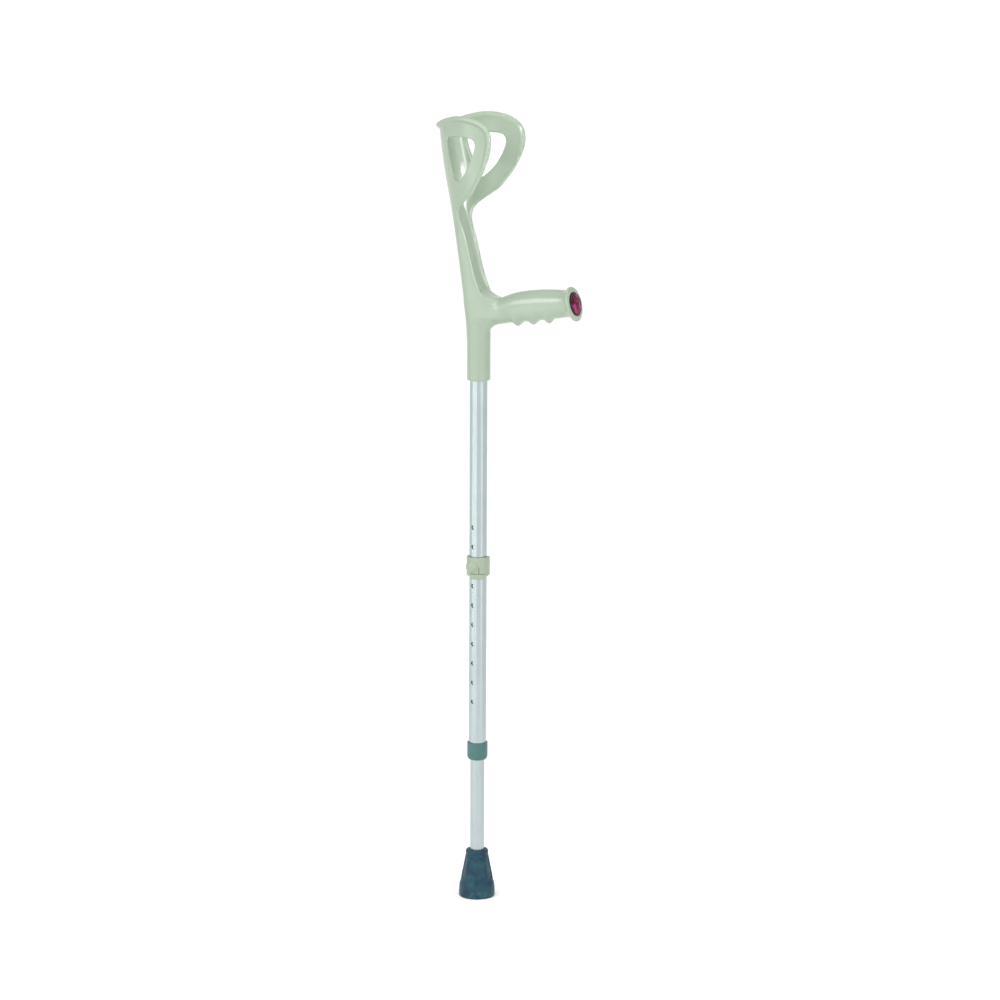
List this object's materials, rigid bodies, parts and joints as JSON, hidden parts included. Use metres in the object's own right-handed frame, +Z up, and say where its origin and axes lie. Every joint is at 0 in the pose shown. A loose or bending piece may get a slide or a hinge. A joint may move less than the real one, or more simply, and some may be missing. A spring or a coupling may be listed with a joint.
{
  "type": "forearm crutch",
  "caption": "Forearm crutch with a one-piece moulded handle and open cuff, a telescopic aluminium leg locked by a pull-off clip, and a flared rubber ferrule.",
  "frame": {"origin": "middle of the ferrule's ground face, on the leg's axis", "axes": "+Z up the leg towards the cuff, +X forward, the way the hand grip points, +Y to the user's left; the handle is symmetric about Y = 0"},
  "size_m": [0.1971, 0.0966, 0.9981],
  "materials": {
    "sage_plastic": "glossy moulded polypropylene",
    "clip_plastic": "satin moulded plastic",
    "collar_plastic": "satin moulded plastic",
    "bush_plastic": "plain moulded plastic",
    "ferrule_rubber": "moulded rubber",
    "reflector": "clear red prismatic reflector",
    "tube_aluminium": "satin anodised drawn tube",
    "zinc_steel": "zinc plated"
  },
  "bodies": {
    "upper": {"handle_moulding": "sage_plastic", "reflector_lens": "reflector", "outer_tube": "tube_aluminium", "end_collar": "collar_plastic"},
    "lower": {"inner_tube": "tube_aluminium", "guide_bush": "bush_plastic", "ferrule": "ferrule_rubber", "ferrule_washer": "zinc_steel"},
    "clip": {"height_clip": "clip_plastic"}
  },
  "joints": [
    {"name": "height_slide", "type": "slide", "parent": "upper", "child": "lower", "axis": [0, 0, 1], "range_m": [-0.175, 0.05]},
    {"name": "clip_pull", "type": "slide", "parent": "lower", "child": "clip", "axis": [-0.1908, -0.9816, 0], "range_m": [0, 0.026], "deforming": ["height_clip"]}
  ]
}
